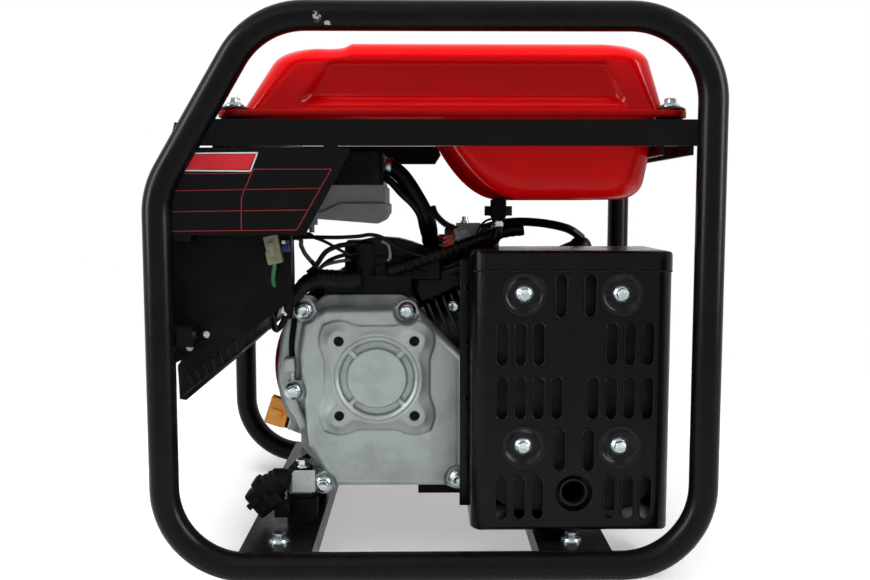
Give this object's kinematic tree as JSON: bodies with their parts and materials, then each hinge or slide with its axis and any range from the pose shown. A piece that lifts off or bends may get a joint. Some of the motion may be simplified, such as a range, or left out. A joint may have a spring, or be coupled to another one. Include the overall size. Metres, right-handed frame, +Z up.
{
  "type": "portable generator",
  "caption": "Open tube-frame petrol generator with a red fuel tank, slanted-cylinder engine, slotted muffler guard, flywheel alternator, recoil starter and side control box.",
  "frame": {"origin": "centre of the bounding box at floor level, beneath the middle of the tube frame", "axes": "+Z up; +X towards the muffler end; -X is the control panel end; -Y is the crankcase cover side and +Y the recoil starter side"},
  "size_m": [0.491, 0.409, 0.508],
  "materials": {
    "frame_black": "satin black powder coat",
    "tank_red": "gloss bright red enamel",
    "housing_red": "gloss dark red paint",
    "rubber_black": "matt black rubber",
    "zinc": "bright zinc plate",
    "cast_aluminium": "fine sand-cast grey, machined faces brighter",
    "black_plastic": "black moulded plastic",
    "grey_plastic": "dark grey moulded plastic",
    "black_steel": "black paint on pressed steel",
    "dark_steel": "heat-tinted dark steel",
    "machined_steel": "machined steel",
    "wound_core": "copper windings on a laminated core",
    "porcelain": "glazed ceramic and plated steel",
    "orange_plastic": "orange moulded plastic",
    "white_plastic": "cream moulded plastic",
    "sink_aluminium": "black anodised",
    "red_plastic": "red moulded plastic",
    "lens_green": "clear tinted lens"
  },
  "bodies": {
    "frame": {"near_hoop": "frame_black", "far_hoop": "frame_black", "side_rails": "frame_black", "cross_bars": "frame_black", "base_beams": "frame_black", "frame_brackets": "frame_black", "label_plate": "frame_black", "rubber_feet": "rubber_black", "base_bolts": "zinc", "engine_mounts": "rubber_black", "engine_bracket": "frame_black", "tank_upper": "tank_red", "tank_lower": "tank_red", "tank_grommets": "rubber_black", "tank_bolts": "zinc", "filler_neck": "zinc", "fuel_gauge": "black_plastic", "fuel_outlet": "black_plastic", "fuel_hose": "rubber_black", "crankcase": "cast_aluminium", "crankcase_cover": "cast_aluminium", "cover_bolts": "zinc", "cylinder_barrel": "cast_aluminium", "cylinder_head": "cast_aluminium", "rocker_cover": "black_steel", "spark_plug": "porcelain", "ignition_lead": "rubber_black", "ignition_unit": "black_plastic", "cooling_shroud": "black_steel", "crank_bearing": "machined_steel", "stator": "wound_core", "blower_housing": "housing_red", "recoil_cover": "black_steel", "muffler": "dark_steel", "muffler_guard": "frame_black", "guard_bolts": "zinc", "carburettor": "cast_aluminium", "intake_hose": "rubber_black", "air_cleaner_case": "black_plastic", "air_cleaner_cover": "grey_plastic", "control_box": "black_plastic", "control_panel": "black_plastic", "inverter_heatsink": "sink_aluminium", "outlets": "black_plastic", "indicator_lights": "lens_green", "wiring_harness": "black_plastic", "harness_connectors": "white_plastic"},
    "fuel_cap": {"fuel_cap": "black_plastic"},
    "dipstick": {"dipstick_rod": "orange_plastic"},
    "dipstick_cap": {"dipstick_cap": "orange_plastic"},
    "crankshaft": {"crankshaft": "machined_steel", "rotor": "machined_steel", "cooling_fan": "black_plastic"},
    "recoil_pulley": {"recoil_pulley": "white_plastic"},
    "recoil_handle": {"recoil_handle": "black_plastic"},
    "choke_lever": {"choke_lever": "zinc"},
    "engine_switch": {"engine_switch": "red_plastic"},
    "outlet_cover_left": {"outlet_cover_left": "black_plastic"},
    "outlet_cover_right": {"outlet_cover_right": "black_plastic"},
    "breaker_button": {"breaker_button": "black_plastic"}
  },
  "joints": [
    {"name": "fuel_cap_turn", "type": "hinge", "parent": "frame", "child": "fuel_cap", "pos_m": [0.03, 0.03, 0.49], "axis": [0, 0, 1], "range_deg": [0, 90]},
    {"name": "dipstick_slide", "type": "slide", "parent": "frame", "child": "dipstick", "axis": [-0.9478, 0, 0.319], "range_m": [0, 0.0075]},
    {"name": "dipstick_turn", "type": "hinge", "parent": "dipstick", "child": "dipstick_cap", "pos_m": [-0.129, -0.074, 0.13], "axis": [-0.9478, 0, 0.319], "range_deg": [0, 1080]},
    {"name": "crank_spin", "type": "hinge", "parent": "frame", "child": "crankshaft", "pos_m": [-0.053, 0.05, 0.179], "axis": [0, 1, 0], "continuous": true},
    {"name": "handle_pull", "type": "slide", "parent": "frame", "child": "recoil_handle", "axis": [0, 1, 0], "range_m": [0, 0.6], "stiffness_N_per_m": 8},
    {"name": "pulley_spin", "type": "hinge", "parent": "frame", "child": "recoil_pulley", "pos_m": [-0.053, 0.127, 0.179], "axis": [0, 1, 0], "range_deg": [0, 870]},
    {"name": "choke_turn", "type": "hinge", "parent": "frame", "child": "choke_lever", "pos_m": [0.032, -0.015, 0.32], "axis": [0, 0, 1], "range_deg": [0, 60]},
    {"name": "switch_turn", "type": "hinge", "parent": "frame", "child": "engine_switch", "pos_m": [-0.231, 0.112, 0.285], "axis": [-1, 0, 0], "range_deg": [0, 120]},
    {"name": "left_cover_hinge", "type": "hinge", "parent": "frame", "child": "outlet_cover_left", "pos_m": [-0.2365, -0.106, 0.305], "axis": [0, 1, 0], "range_deg": [0, 100], "stiffness_Nm_per_rad": 0.03, "springref_deg": -17.19},
    {"name": "right_cover_hinge", "type": "hinge", "parent": "frame", "child": "outlet_cover_right", "pos_m": [-0.2365, -0.022, 0.305], "axis": [0, 1, 0], "range_deg": [0, 100], "stiffness_Nm_per_rad": 0.03, "springref_deg": -17.19},
    {"name": "breaker_push", "type": "slide", "parent": "frame", "child": "breaker_button", "axis": [1, 0, 0], "range_m": [0, 0.003], "stiffness_N_per_m": 300, "springref_m": -0.002}
  ],
  "couplings": [
    {"joint": "dipstick_turn", "follows": "dipstick_slide", "rad_per_m": 2513.3},
    {"joint": "pulley_spin", "follows": "handle_pull", "rad_per_m": 25}
  ]
}
